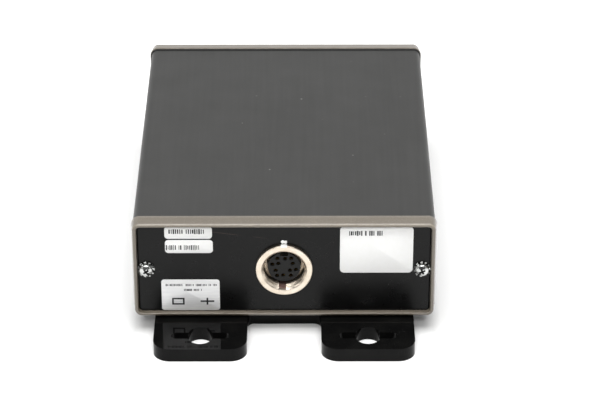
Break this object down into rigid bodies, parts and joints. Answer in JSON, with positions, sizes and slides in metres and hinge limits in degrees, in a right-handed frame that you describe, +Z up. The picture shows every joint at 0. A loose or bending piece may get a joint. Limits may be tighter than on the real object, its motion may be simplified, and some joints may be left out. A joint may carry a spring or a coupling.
{
  "type": "force torque sensor interface box",
  "caption": "Slim extruded box with drafted end bezels and a round keyed sensor socket, on a flat plate with keyhole tabs.",
  "frame": {"origin": "centre of the mounting plate's underside", "axes": "+Z up from the plate, -Y out of the sensor socket's mouth, +X to the right when facing the sensor socket from outside"},
  "size_m": [0.1062, 0.181, 0.0437],
  "materials": {
    "acrylic": "polished black",
    "tube": "dark grey anodised",
    "bezel": "warm grey satin paint",
    "panel": "black matt paint",
    "steel": "zinc plated",
    "nickel": "satin nickel plate",
    "gold": "gold plated",
    "insulator": "moulded black",
    "ivory": "moulded ivory",
    "seal": "black rubber",
    "label": "silver white film",
    "board": "green solder mask",
    "part_black": "moulded epoxy",
    "part_blue": "shrink sleeve",
    "part_amber": "dipped resin",
    "wire": "wire insulation"
  },
  "bodies": {
    "root": {"mounting_plate": "acrylic", "plate_screws": "steel", "plate_spacers": "seal", "plate_nuts": "steel", "enclosure_tube": "tube", "front_bezel": "bezel", "rear_bezel": "bezel", "front_panel": "panel", "rear_panel": "panel", "front_screws": "steel", "rear_screws": "steel", "front_lock_washers": "steel", "rear_lock_washers": "steel", "front_labels": "label", "receptacle_shell": "nickel", "receptacle_seal": "seal", "receptacle_insert": "insulator", "receptacle_contacts": "gold", "receptacle_retainer": "steel", "receptacle_washer": "steel", "receptacle_nut": "steel", "socket_shell": "steel", "socket_insulator": "insulator", "socket_contacts": "gold", "socket_jackscrews": "steel", "socket_nuts": "steel", "circuit_board": "board", "power_converter": "part_black", "capacitors": "part_blue", "amplifier_chips": "part_black", "chip_legs": "steel", "line_choke": "part_black", "resettable_fuse": "part_amber", "resistor_networks": "part_amber", "sensor_header": "ivory", "header_pins": "gold", "sensor_plug": "ivory", "sensor_wires": "wire"}
  },
  "joints": []
}
